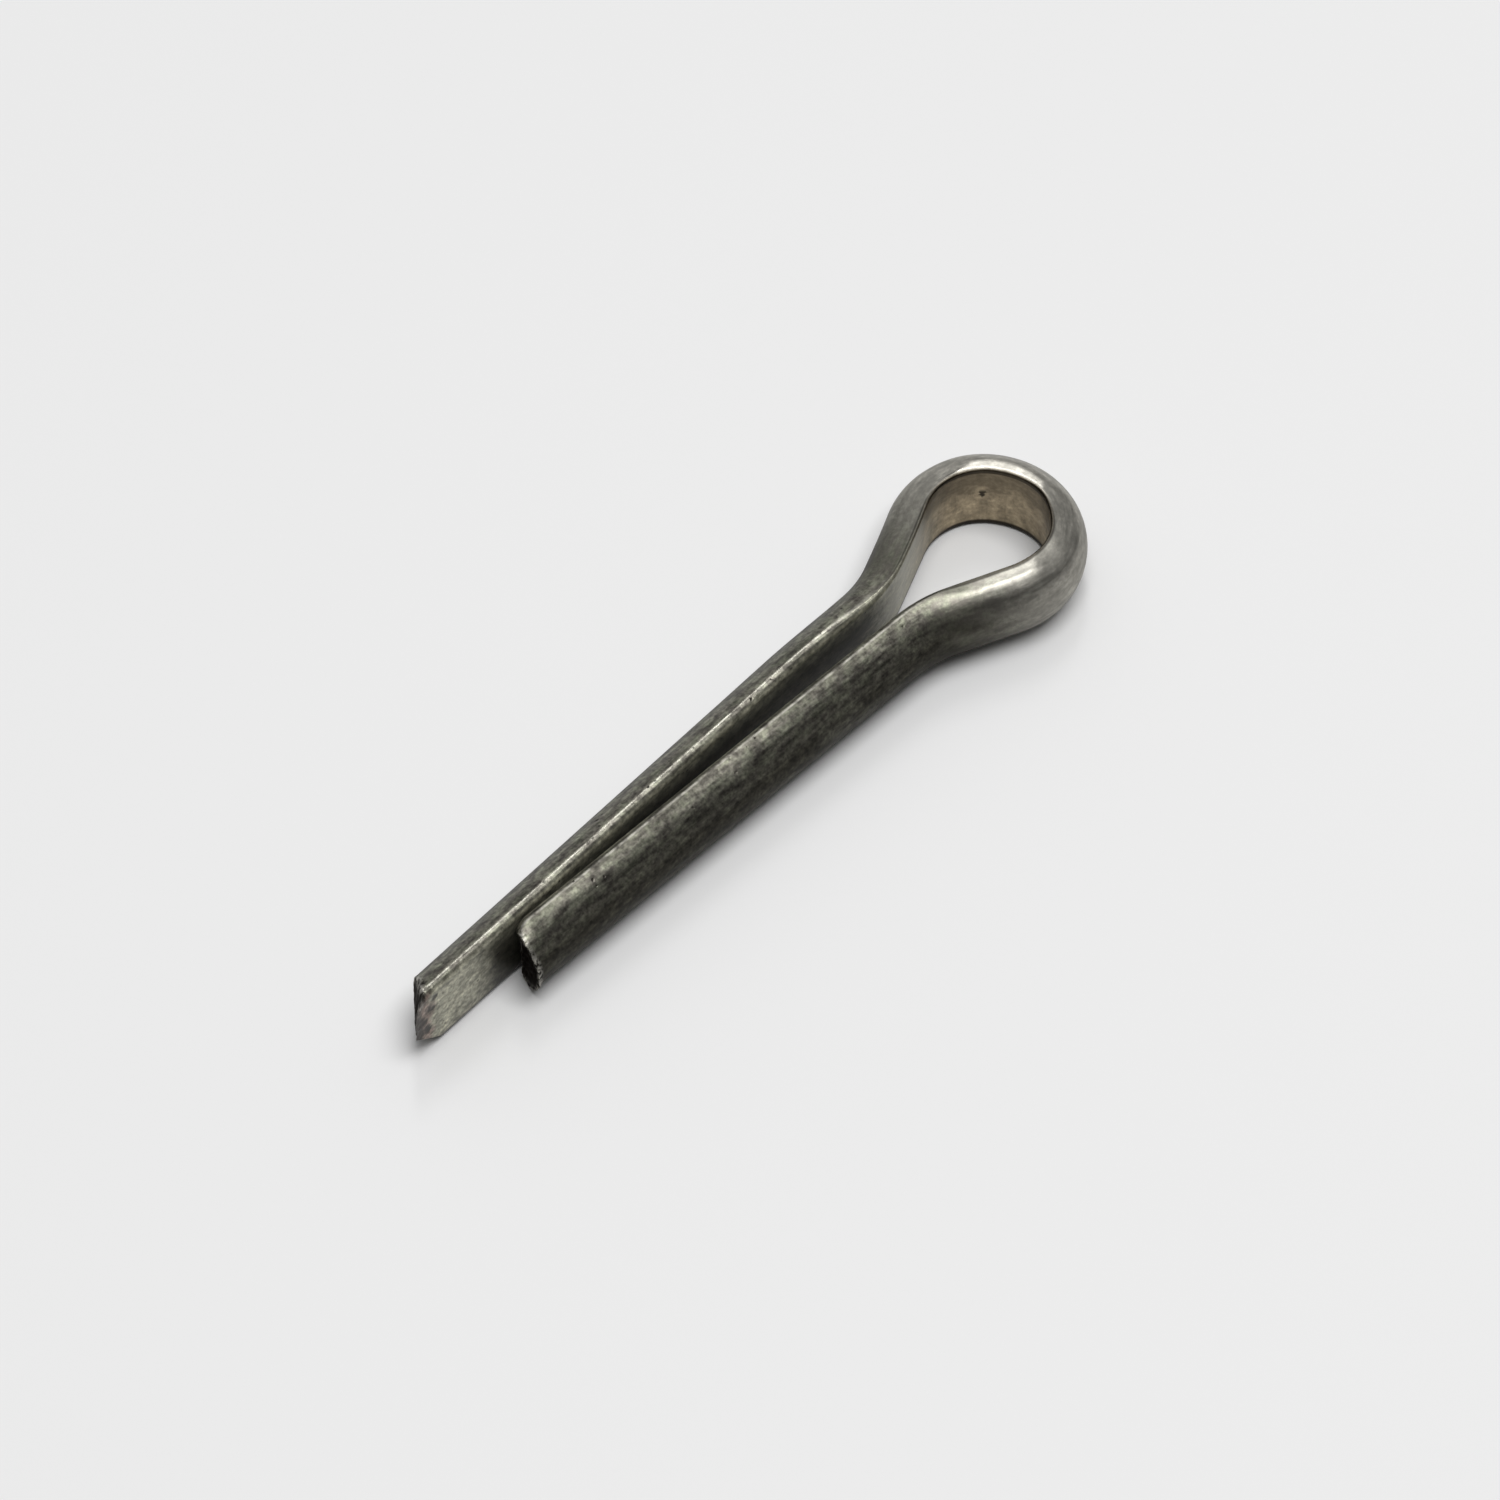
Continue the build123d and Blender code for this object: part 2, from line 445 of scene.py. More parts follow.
def form_eye(tree, given, half_width, past_eye, out, height):
    """Bends and presses the section round the eye.

    Returns its new places out and up, and how far bending moved each point out.
    """
    # Bending draws the outside of the loop in, so its upper shoulder slopes outward, but hardly at the crest.
    start, full = given["slope_start"], given["slope_full"]
    slope = add(tree, RANGE, past_eye, start, full, 0.0, given["slope"], **SMOOTH)
    fading = add(tree, RANGE, past_eye, given["slope_fade"], given["slope_end"], -1.0, 0.0, **SMOOTH)
    slope = add(tree, MATH, slope, fading, operation="MULTIPLY")
    crest = nearness(tree, past_eye, given["crest_place"], given["crest_full"], given["crest_end"])
    off_crest = add(tree, MATH, crest, -CREST_LOSS, 1.0, operation="MULTIPLY_ADD")
    slope = add(tree, MATH, slope, off_crest, operation="MULTIPLY")
    shoulder = add(tree, MATH, out, slope, half_width, operation="MULTIPLY_ADD")
    softness = add(tree, MATH, slope, -1.0, operation="MULTIPLY")
    softness = add(tree, MATH, softness, given["slope_soft"], operation="MULTIPLY")
    height = add(tree, MATH, height, shoulder, softness, operation="SMOOTH_MIN")

    # Forming tools press flats on the eye's top: one round the far rim, one along the near flank.
    pressed = 0.0
    for name in ("rim_flat", "flank_flat"):
        reach = given[f"{name}_reach"]
        full = add(tree, MATH, reach, FULL_FLAT_SHARE, operation="MULTIPLY")
        tool = nearness(tree, past_eye, given[f"{name}_place"], full, reach)
        pressed = add(tree, MATH, tool, pressed, operation="MAXIMUM")
    pressed = add(tree, MATH, given["eye_press"], pressed, operation="MULTIPLY")
    top = add(tree, MATH, half_width, pressed, operation="SUBTRACT")
    bottom = add(tree, MATH, top, -1.0, operation="MULTIPLY")
    height = add(tree, MATH, height, top, operation="MINIMUM")

    # Bending thins the wire on one side of the eye and leans the far flank's upper edge inward.
    thinned = nearness(tree, past_eye, given["thin_place"], given["thin_full"], given["thin_end"])
    thinned = add(tree, MATH, thinned, given["bend_thinning"], operation="MULTIPLY")
    inner_share = add(tree, MATH, out, given["wire_thickness"], operation="DIVIDE")
    inner_share = add(tree, MATH, 1.0, inner_share, operation="SUBTRACT")
    moved_out = add(tree, MATH, inner_share, thinned, operation="MULTIPLY")
    lean = nearness(tree, past_eye, given["lean_place"], given["lean_full"], given["lean_end"])
    lean = add(tree, MATH, lean, given["flank_lean"], operation="MULTIPLY")
    lift = add(tree, RANGE, height, bottom, top, 0.0, -1.0)
    moved_out = add(tree, MATH, lift, lean, moved_out, operation="MULTIPLY_ADD")
    out = add(tree, MATH, out, moved_out, operation="ADD")
    return out, height, moved_out


def shear_ends(tree, given, half_width, lowest, along, before_short, still_open, out, height):
    """Closes the wire over its two cuts and gives them their slant, rolled edges and bevel.

    Returns each point's place along, out and up, and its share of the way out to the crown.
    """
    # Beyond each end the rings close over the cut face, and the cut is slanted across the section.
    middle = add(tree, MATH, given["wire_thickness"], MIDDLE_SHARE, operation="MULTIPLY")
    from_middle = add(tree, MATH, out, middle, operation="SUBTRACT")
    out = add(tree, MATH, from_middle, still_open, middle, operation="MULTIPLY_ADD")
    height = add(tree, MATH, height, still_open, operation="MULTIPLY")
    slant_end = add(tree, MATH, given["wire_thickness"], SLANT_SHARE, operation="MULTIPLY")
    near_long = add(tree, RANGE, along, 0.0, slant_end, 1.0, 0.0)
    near_short = add(tree, RANGE, before_short, 0.0, slant_end, 1.0, 0.0)
    station = add(tree, CLAMP, along, 0.0, given["wire_length"])
    long_slope = add(tree, MATH, given["long_cut"], operation="TANGENT")
    long_shift = add(tree, MATH, out, long_slope, operation="MULTIPLY")
    station = add(tree, MATH, long_shift, near_long, station, operation="MULTIPLY_ADD")
    short_slope = add(tree, MATH, given["short_cut"], operation="TANGENT")
    short_shift = add(tree, MATH, out, given["wire_thickness"], operation="SUBTRACT")
    short_shift = add(tree, MATH, short_shift, short_slope, operation="MULTIPLY")
    station = add(tree, MATH, short_shift, near_short, station, operation="MULTIPLY_ADD")

    # The shear rolls the short end's flat side over and drags its round side down. It leaves the long
    # end's upper corner rolled back.
    outer_share = add(tree, MATH, out, given["wire_thickness"], operation="DIVIDE")
    inner_share = add(tree, MATH, 1.0, outer_share, operation="SUBTRACT")
    rolled = add(tree, RANGE, before_short, 0.0, given["roll_reach"], 1.0, 0.0)
    rolled = add(tree, MATH, rolled, 2.0, operation="POWER")
    roll = add(tree, MATH, inner_share, rolled, operation="MULTIPLY")
    drag = add(tree, MATH, outer_share, rolled, operation="MULTIPLY")
    out = add(tree, MATH, roll, given["roll_in"], out, operation="MULTIPLY_ADD")
    out = add(tree, MATH, drag, given["drag_out"], out, operation="MULTIPLY_ADD")
    upper = add(tree, RANGE, height, 0.0, half_width, 0.0, 1.0)
    roll = add(tree, MATH, roll, upper, operation="MULTIPLY")
    for share, depth in ((roll, given["roll_down"]), (drag, given["drag_down"])):
        sunk = add(tree, MATH, share, depth, operation="MULTIPLY")
        height = add(tree, MATH, height, sunk, operation="SUBTRACT")
    height = add(tree, MATH, height, lowest, operation="MAXIMUM")
    forward = add(tree, MATH, upper, 2.0, operation="POWER")
    forward = add(tree, MATH, forward, near_short, operation="MULTIPLY")
    station = add(tree, MATH, forward, given["edge_forward"], station, operation="MULTIPLY_ADD")
    rolled_back = add(tree, MATH, upper, 3.0, operation="POWER")
    rolled_back = add(tree, MATH, rolled_back, near_long, operation="MULTIPLY")
    station = add(tree, MATH, rolled_back, given["corner_roll"], station, operation="MULTIPLY_ADD")

    # The underside of the long end is bevelled up to the cut.
    bevel = add(tree, RANGE, station, 0.0, given["bevel_length"], given["bevel_height"], 0.0)
    bevel_floor = add(tree, MATH, bevel, half_width, operation="SUBTRACT")
    height = add(tree, MATH, height, bevel_floor, operation="MAXIMUM")
    return station, out, height, outer_share


def wire_tree(material, values):
    """Geometry Nodes that dress a line as half-round wire with sheared ends.

    Each point of a ring has a place in the straight wire: along it, out from the flat face and up.
    The tree shapes the section there, then sets it on the bent line.
    """
    tree = bpy.data.node_groups.new("Half-round wire", "GeometryNodeTree")
    tree.interface.new_socket("Geometry", in_out="INPUT", socket_type="NodeSocketGeometry")
    for name, value in values.items():
        kind = "NodeSocketInt" if isinstance(value, int) else "NodeSocketFloat"
        tree.interface.new_socket(name, in_out="INPUT", socket_type=kind)
    tree.interface.new_socket("Geometry", in_out="OUTPUT", socket_type="NodeSocketGeometry")
    given = tree.nodes.new("NodeGroupInput").outputs
    half_width = add(tree, MATH, given["wire_width"], 0.5, operation="MULTIPLY")
    lowest = add(tree, MATH, half_width, -1.0, operation="MULTIPLY")

    skin, place, heading, along, around = ring_points(tree, given)
    outward = add(tree, VECTOR, (0, 0, 1), heading, operation="CROSS_PRODUCT")
    past_eye = add(tree, MATH, along, given["eye_middle"], operation="SUBTRACT")
    before_short = add(tree, MATH, given["wire_length"], along, operation="SUBTRACT")
    past_cut = add(tree, MATH, along, before_short, operation="MINIMUM")
    past_cut = add(tree, MATH, past_cut, -1.0, operation="MULTIPLY")
    still_open = add(tree, RANGE, past_cut, 0.0, given["lead"], 1.0, 0.0)

    eye_share = nearness(tree, past_eye, 0.0, given["eye_reach"], given["neck_end"])
    loop_share = nearness(tree, past_eye, 0.0, given["loop_full"], given["loop_end"])
    out, height, facing_out, facing_up = half_round(tree, given, half_width, around, eye_share)
    upright = add(tree, MATH, facing_up, operation="ABSOLUTE")
    burnished = add(tree, RANGE, upright, *BURNISH_AND_HIGHLIGHT_FACING, 0.0, 1.0, **SMOOTH)
    out, height, moved_out = form_eye(tree, given, half_width, past_eye, out, height)
    station, out, height, outer_share = shear_ends(
        tree, given, half_width, lowest, along, before_short, still_open, out, height
    )

    # A place in the straight wire, in millimetres, that patterns can follow round the bends.
    unbent_out = add(tree, MATH, out, moved_out, operation="SUBTRACT")
    unbent = add(tree, "ShaderNodeCombineXYZ", station, unbent_out, height)
    unbent = add(tree, VECTOR, unbent, 1 / MM, operation="SCALE")
    past_eye_mm = add(tree, MATH, past_eye, 1 / MM, operation="MULTIPLY")

    # Shallow waves from drawing, longer than they are wide, and a torn rim at each cut.
    stretched = add(tree, VECTOR, unbent, (WAVE_SQUEEZE, 1.0, 1.0), operation="MULTIPLY")
    waves_per_mm = add(tree, MATH, MM, given["wave_size"], operation="DIVIDE")
    dip = add(tree, NOISE, stretched, waves_per_mm, 2.0, 0.5)
    dip = add(tree, MATH, dip, given["unevenness"], operation="MULTIPLY")
    dip = add(tree, MATH, dip, -1.0, operation="MULTIPLY")
    dip = add(tree, MATH, dip, still_open, operation="MULTIPLY")
    rim_width = add(tree, MATH, given["ring_spacing"], RIM_RINGS, operation="MULTIPLY")
    from_cut = add(tree, MATH, past_cut, operation="ABSOLUTE")
    rim = add(tree, RANGE, from_cut, 0.0, rim_width, 1.0, 0.0)
    cut_end = add(tree, "FunctionNodeCompare", past_cut, 0.0, operation="GREATER_THAN")
    rough_end = add(tree, MATH, rim, cut_end, operation="MAXIMUM")
    tears_per_mm = add(tree, MATH, MM, given["tear_size"], operation="DIVIDE")
    torn = add(tree, NOISE, unbent, tears_per_mm, 3.0, 0.6)
    torn = add(tree, RANGE, torn, 0.35, 0.75, -0.2, 1.0)
    torn = add(tree, MATH, torn, given["burr"], operation="MULTIPLY")
    torn = add(tree, MATH, torn, rough_end, operation="MULTIPLY")
    flare = add(tree, MATH, torn, rim, operation="MULTIPLY")
    flare = add(tree, MATH, flare, FLARE_SHARE, operation="MULTIPLY")
    dip = add(tree, MATH, flare, outer_share, dip, operation="MULTIPLY_ADD")
    out = add(tree, MATH, facing_out, dip, out, operation="MULTIPLY_ADD")
    height = add(tree, MATH, facing_up, dip, height, operation="MULTIPLY_ADD")
    height = add(tree, CLAMP, height, lowest, half_width)

    # The point's place on the bent line. Torn edges are set back towards the eye.
    slip = add(tree, MATH, station, along, operation="SUBTRACT")
    past_eye_side = add(tree, MATH, past_eye, operation="SIGN")
    set_back = add(tree, MATH, torn, past_eye_side, operation="MULTIPLY")
    slip = add(tree, MATH, slip, set_back, operation="SUBTRACT")
    moved = add(tree, VECTOR, heading, slip, operation="SCALE")
    moved = add(tree, VECTOR, place, moved, operation="ADD")
    moved = add(tree, VECTOR, moved, add(tree, VECTOR, outward, out, operation="SCALE"), operation="ADD")
    moved = add(tree, VECTOR, moved, add(tree, "ShaderNodeCombineXYZ", 0.0, 0.0, height), operation="ADD")
    skin = add(tree, "GeometryNodeSetPosition", skin, None, moved)

    # What the finish reads. The sweep's own faces point inwards, so they are turned, and the points that the
    # last rings closed on are welded.
    store = "GeometryNodeStoreNamedAttribute"
    skin = add(tree, store, skin, None, "unbent", unbent, data_type="FLOAT_VECTOR")
    numbers = (cut_end, rim, burnished, eye_share, loop_share, past_eye_mm)
    for name, value in zip(POINT_NUMBERS, numbers):
        skin = add(tree, store, skin, None, name, value, data_type="FLOAT")
    skin = add(tree, "GeometryNodeFlipFaces", skin)
    skin = add(tree, "GeometryNodeMergeByDistance", skin, None, given["weld"], mode="CONNECTED")
    edge_angle = add(tree, "GeometryNodeInputMeshEdgeAngle")
    sharp = add(tree, "FunctionNodeCompare", edge_angle, CREASE, operation="GREATER_THAN")
    skin = add(tree, "GeometryNodeSetShadeSmooth", skin, sharp, False, domain="EDGE")
    skin = add(tree, "GeometryNodeRealizeInstances", skin)
    skin = add(tree, "GeometryNodeSetMaterial", skin, None, material)
    tree.links.new(skin, tree.nodes.new("NodeGroupOutput").inputs["Geometry"])
    return tree


def steel_places(tree):
    """What the wire's mesh says of each point: its place in the straight wire, and how it was formed."""
    kind = "ShaderNodeAttribute"
    numbers = {name: add(tree, kind, attribute_name=name, out=2) for name in POINT_NUMBERS}
    unbent = add(tree, kind, attribute_name="unbent", out=1)
    parts = add(tree, "ShaderNodeSeparateXYZ", unbent, out=None).outputs
    from_rim = add(tree, MATH, numbers["past_eye"], RIM_PLACE, operation="SUBTRACT")
    from_rim = add(tree, MATH, from_rim, operation="ABSOLUTE")
    return SimpleNamespace(
        unbent=unbent, tip=parts[0], out=parts[1], up=parts[2], from_rim=from_rim, **numbers
    )


def steel_patterns(tree, sizes, at):
    """Lines along the draw, cloudy scale, blotches, patches, fine grain, runs and pits.

    The wire's own lines are finer than a picture can show, so they are drawn coarser.
    """
    # Each pattern's width, how much it is stretched along the wire, its octaves and their roughness.
    kinds = {
        "lines": (sizes.draw_spacing, 0.16, 3.0, 0.6),
        "clouds": (sizes.cloud_size, 0.42, 5.0, 0.62),
        "blotches": (sizes.blotch_size, 0.65, 2.0, 0.5),
        "patches": (sizes.patch_size, 0.7, 1.0, 0.5),
        "grain": (sizes.grain_size, 1.0, 2.0, 0.6),
    }
    pattern = SimpleNamespace()
    for name, (width, squeeze, octaves, rough) in kinds.items():
        per_mm = MM / width
        spread = add(tree, VECTOR, at.unbent, (squeeze * per_mm, per_mm, per_mm), operation="MULTIPLY")
        setattr(pattern, name, add(tree, NOISE, spread, 1.0, octaves, rough))

    # Runs down the eye's wall.
    per_mm = MM / sizes.stain_size
    spread = add(tree, VECTOR, at.unbent, (per_mm, 0.0, 0.46 * per_mm), operation="MULTIPLY")
    pattern.stains = add(tree, NOISE, spread, 1.0, 4.0, 0.65)

    # Pits are larger where the scale is cloudy and beside the long cut, and small round the eye.
    pit_size = add(tree, RANGE, pattern.clouds, 0.42, 0.72, 0.16, 0.48)
    smaller = add(tree, RANGE, at.eye_share, 0.0, 0.6, 1.0, 0.2)
    larger = add(tree, RANGE, at.tip, *PITTED_TIP, 0.7, 0.0)
    pit_size = add(tree, MATH, pit_size, smaller, larger, operation="MULTIPLY_ADD")
    pit_core = add(tree, MATH, pit_size, 0.55, operation="MULTIPLY")
    from_pit = add(tree, "ShaderNodeTexVoronoi", at.unbent, MM / sizes.pit_spacing, feature="F1")
    from_pit = add(tree, MATH, pattern.grain, 0.3, from_pit, operation="MULTIPLY_ADD")
    pattern.pits = add(tree, RANGE, from_pit, pit_core, pit_size, 1.0, 0.0)
    return pattern


def steel_films(tree, at, pattern):
    """Where the scale (fuller low on the crown as painted shade), the rolled flat's film and the burnished
    steel (with painted highlights) lie.
    """
    on_flat = add(tree, RANGE, at.out, *FLAT_OUT, 1.0, 0.0)
    scale_and_shade = add(tree, RANGE, at.out, *SCALE_OUT, 0.0, 1.0, **SMOOTH)
    cloudy = add(tree, RANGE, pattern.clouds, 0.3, 0.7, -0.3, 0.3)
    scale_and_shade = add(tree, MATH, scale_and_shade, cloudy, operation="ADD", use_clamp=True)
    # Painted shade: the scale is fuller towards the bottom of the crown. It is thinner round the loop.
    for share in (
        add(tree, RANGE, at.up, *SCALE_SHADE_UP, 1.0, 0.4),
        add(tree, RANGE, at.loop_share, 0.0, 1.0, 0.95, 0.35),
    ):
        scale_and_shade = add(tree, MATH, scale_and_shade, share, operation="MULTIPLY")
    dull = add(tree, RANGE, at.past_eye, *DULL_PLACE, 0.0, 0.45)
    dull = add(tree, MATH, dull, add(tree, RANGE, at.out, *DULL_OUT, 1.0, 0.0), operation="MULTIPLY")
    scale_and_shade = add(tree, MATH, scale_and_shade, dull, operation="MAXIMUM")
    # Painted highlight: steel facing up or down is painted brighter, as well as burnished by the tools.
    worn_and_highlit = at.burnished
    for share in (
        add(tree, RANGE, pattern.blotches, 0.35, 0.6, 0.1, 1.0),
        add(tree, RANGE, at.eye_share, 0.0, 1.0, 0.5, 0.15),
    ):
        worn_and_highlit = add(tree, MATH, worn_and_highlit, share, operation="MULTIPLY")
    return SimpleNamespace(on_flat=on_flat, scale_and_shade=scale_and_shade, worn_and_highlit=worn_and_highlit)


def flat_colour(tree, hues, at, pattern):
    """The flat face: a brown film with dark stains inside the eye, painted shade atop its wall and between
    the legs, a torn lip.
    """
    # Painted shade darkens the eye's wall towards its top, over its dark runs, and the wall has one small
    # chip.
    dark = add(tree, MATH, pattern.patches, 1.5, at.up, operation="MULTIPLY_ADD")
    dark = add(tree, MATH, pattern.blotches, 0.9, dark, operation="MULTIPLY_ADD")
    dark = add(tree, RANGE, dark, *WALL_SHADE_UP, 0.0, 0.52)
    stains = add(tree, RANGE, pattern.stains, 0.4, 0.72, 0.0, 0.6)
    dark = add(tree, MATH, dark, stains, operation="MAXIMUM")
    above_chip = add(tree, MATH, at.up, CHIP_UP, operation="SUBTRACT")
    beside_chip = add(tree, MATH, at.past_eye, CHIP_PLACE, operation="SUBTRACT")
    beside_chip = add(tree, MATH, beside_chip, operation="ABSOLUTE")
    beside_chip = add(tree, MATH, above_chip, -0.55, beside_chip, operation="MULTIPLY_ADD")
    beside_chip = add(tree, MATH, pattern.grain, 0.3, beside_chip, operation="MULTIPLY_ADD")
    chip = add(tree, RANGE, beside_chip, *CHIP_REACH, 0.9, 0.0)
    chip = add(tree, MATH, chip, add(tree, RANGE, above_chip, *CHIP_HEIGHT, 1.0, 0.0), operation="MULTIPLY")
    dark = add(tree, MATH, dark, chip, operation="MAXIMUM")
    wall = add(tree, MIX, dark, hues.film, hues.dirt_and_shade, **COLOURS)

    # Painted shade darkens the flat face in the gap between the legs, less so near its top.
    gap_shade = add(tree, RANGE, at.tip, *GAP_SHADE_TIP, 0.0, 0.88, **SMOOTH)
    from_eye = add(tree, MATH, at.past_eye, operation="ABSOLUTE")
    for share in (
        add(tree, RANGE, from_eye, *GAP_SHADE_REACH, 0.0, 1.0, **SMOOTH),
        add(tree, RANGE, at.up, *GAP_SHADE_UP, 1.0, 0.15),
    ):
        gap_shade = add(tree, MATH, gap_shade, share, operation="MULTIPLY")
    gap = add(tree, MIX, gap_shade, hues.flat, hues.dirt_and_shade, **COLOURS)
    flat = add(tree, MIX, at.loop_share, gap, wall, **COLOURS)

    torn = add(tree, MATH, pattern.patches, 0.9, at.tip, operation="MULTIPLY_ADD")
    torn = add(tree, RANGE, torn, *TORN_TIP, 0.9, 0.0)
    return add(tree, MIX, torn, flat, hues.torn, **COLOURS)


def steel_shade(tree, at, pattern, films):
    """How much the patterns lighten and darken the steel, less so round the eye."""
    streaks = add(tree, RANGE, films.on_flat, 0.0, 1.0, 0.38, 0.15)
    shade = add(tree, RANGE, pattern.lines, 0.3, 0.7, -1.0, 1.0)
    shade = add(tree, MATH, shade, streaks, 1.0, operation="MULTIPLY_ADD")
    for noise, depth in ((pattern.clouds, 0.35), (pattern.blotches, 0.5), (pattern.grain, 0.4)):
        change = add(tree, RANGE, noise, 0.3, 0.7, 1 - depth, 1 + depth)
        shade = add(tree, MATH, shade, change, operation="MULTIPLY")
    calm = add(tree, RANGE, at.eye_share, 0.0, 1.0, 1.0, 0.4)
    change = add(tree, MATH, shade, 1.0, operation="SUBTRACT")
    return add(tree, MATH, change, calm, 1.0, operation="MULTIPLY_ADD")


def steel_marks(tree, at, pattern):
    """Painted shade along the eye's inner top edge and the lower corners, the bright burr of the cuts with
    painted glints, and dirt in pits and on the torn lip.
    """
    # Painted shade: a dark line along the eye's inner top edge.
    width = add(tree, RANGE, at.from_rim, *EDGE_REACH, *EDGE_WIDTH)
    width_end = add(tree, MATH, width, EDGE_FADE, operation="ADD")
    edge = add(tree, RANGE, at.out, width, width_end, 1.0, 0.0)
    edge = add(tree, MATH, edge, at.eye_share, operation="MULTIPLY")
    level = add(tree, MATH, at.up, operation="ABSOLUTE")
    start = add(tree, RANGE, at.past_eye, *EDGE_PLACE, *EDGE_UP)
    start_end = add(tree, MATH, start, EDGE_SOFT, operation="ADD")
    edge = add(tree, MATH, edge, add(tree, RANGE, level, start, start_end, 0.0, 0.75), operation="MULTIPLY")
    # Painted shade along the lower corners, next to the floor.
    lower_corner_shade = add(tree, RANGE, at.up, *LOWER_CORNER_SHADE_UP, 0.85, 0.0)
    # Painted glints: dots of bare steel on the cut rims are painted bright.
    bare = add(tree, RANGE, pattern.grain, 0.42, 0.56, 0.0, 1.0)
    burr = add(tree, MATH, at.rim, bare, operation="MULTIPLY")
    lip = add(tree, MATH, pattern.patches, 0.7, at.tip, operation="MULTIPLY_ADD")
    lip = add(tree, RANGE, lip, *LIP_TIP, 1.0, 0.0)
    lip = add(tree, MATH, lip, add(tree, RANGE, at.up, *LIP_UP, 1.0, 0.0), operation="MULTIPLY")
    dirty = add(tree, MATH, pattern.pits, lip, operation="MAXIMUM")
    dirty = add(tree, MATH, dirty, 0.9, operation="MULTIPLY")
    return SimpleNamespace(edge=edge, lower_corner_shade=lower_corner_shade, burr=burr, dirty=dirty)


def drawn_steel(colours, sizes):
    """Half-round mild steel wire, drawn through a die and bent cold.

    Drawing leaves satin lines along the wire and a dark scale on the crown, fuller low down as painted shade.
    The dies and tools burnish the corners bright, and up-facing corners get a painted highlight.
    The flat keeps a thin greenish film, browner inside the eye, and small pits hold dirt.
    """
    material = bpy.data.materials.new("Drawn mild steel wire")
    material.use_nodes = True
    tree = material.node_tree
    tree.nodes.clear()
    hues = SimpleNamespace(**{key: linear(getattr(colours, key)) for key in SteelColours.__annotations__})
    at = steel_places(tree)
    pattern = steel_patterns(tree, sizes, at)
    films = steel_films(tree, at, pattern)
    marks = steel_marks(tree, at, pattern)

    tint = add(tree, RANGE, pattern.blotches, 0.35, 0.65, 0.0, 1.0)
    hue = add(tree, MIX, tint, hues.steel, hues.olive, **COLOURS)
    hue = add(tree, MIX, at.loop_share, hue, hues.bent, **COLOURS)
    hue = add(tree, MIX, films.scale_and_shade, hue, hues.scale, **COLOURS)
    hue = add(tree, MIX, films.on_flat, hue, flat_colour(tree, hues, at, pattern), **COLOURS)
    hue = add(tree, VECTOR, hue, steel_shade(tree, at, pattern, films), operation="SCALE")
    for share, over in (
        (films.worn_and_highlit, hues.bright),
        (at.cut_end, hues.sheared),
        (marks.edge, hues.dirt_and_shade),
        (marks.lower_corner_shade, hues.dirt_and_shade),
        (marks.burr, hues.bright),
        (marks.dirty, hues.dirt_and_shade),
    ):
        hue = add(tree, MIX, share, hue, over, **COLOURS)

    # Drawn steel is satin. Scale and torn steel are duller, and what the tools touched is smoother.
    polished = add(tree, RANGE, at.from_rim, *POLISH_REACH, 1.0, 0.0)
    polished = add(tree, MATH, at.burnished, polished, operation="MULTIPLY")
    roughness = add(tree, RANGE, pattern.lines, 0.25, 0.75, 0.27, 0.4)
    for share, change in (
        (films.scale_and_shade, 0.22),
        (at.loop_share, 0.05),
        (polished, -0.1),
        (films.worn_and_highlit, -0.05),
    ):
        roughness = add(tree, MATH, share, change, roughness, operation="MULTIPLY_ADD")
    roughness = add(tree, MATH, at.cut_end, 0.4, roughness, operation="MULTIPLY_ADD", use_clamp=True)

    facets = add(tree, MATH, at.rim, pattern.grain, operation="MULTIPLY")
    relief = add(tree, MATH, pattern.lines, 0.6, operation="MULTIPLY")
    for mark, depth in ((pattern.grain, 0.35), (pattern.pits, -1.6), (facets, 3.0)):
        relief = add(tree, MATH, mark, depth, relief, operation="MULTIPLY_ADD")
    bump = add(tree, "ShaderNodeBump", 1.0, RELIEF_DEPTH, None, relief)

    # The film on the legs' flat faces hides part of the metal's own shine.
    off_loop = add(tree, MATH, 1.0, at.loop_share, operation="SUBTRACT")
    filmed = add(tree, MATH, films.on_flat, off_loop, operation="MULTIPLY")
    metal = add(tree, RANGE, filmed, 0.0, 1.0, 1.0, 0.45)
    shader = add(tree, "ShaderNodeBsdfPrincipled", hue, metal, roughness, out=None)
    shader.inputs["Specular Tint"].default_value = (0.8, 0.8, 0.8, 1)
    tree.links.new(bump, shader.inputs["Normal"])
    tree.links.new(shader.outputs[0], add(tree, "ShaderNodeOutputMaterial", out=None).inputs["Surface"])
    return material


def matt_paper(hex_colour):
    """Matt white paper, pressed smooth: an even pale surface with hardly any shine."""
    material = bpy.data.materials.new("Matt white paper")
    material.use_nodes = True
    shader = material.node_tree.nodes["Principled BSDF"]
    shader.inputs["Base Color"].default_value = linear(hex_colour)
    shader.inputs["Roughness"].default_value = 0.9
    shader.inputs["Specular IOR Level"].default_value = 0.1
    return material


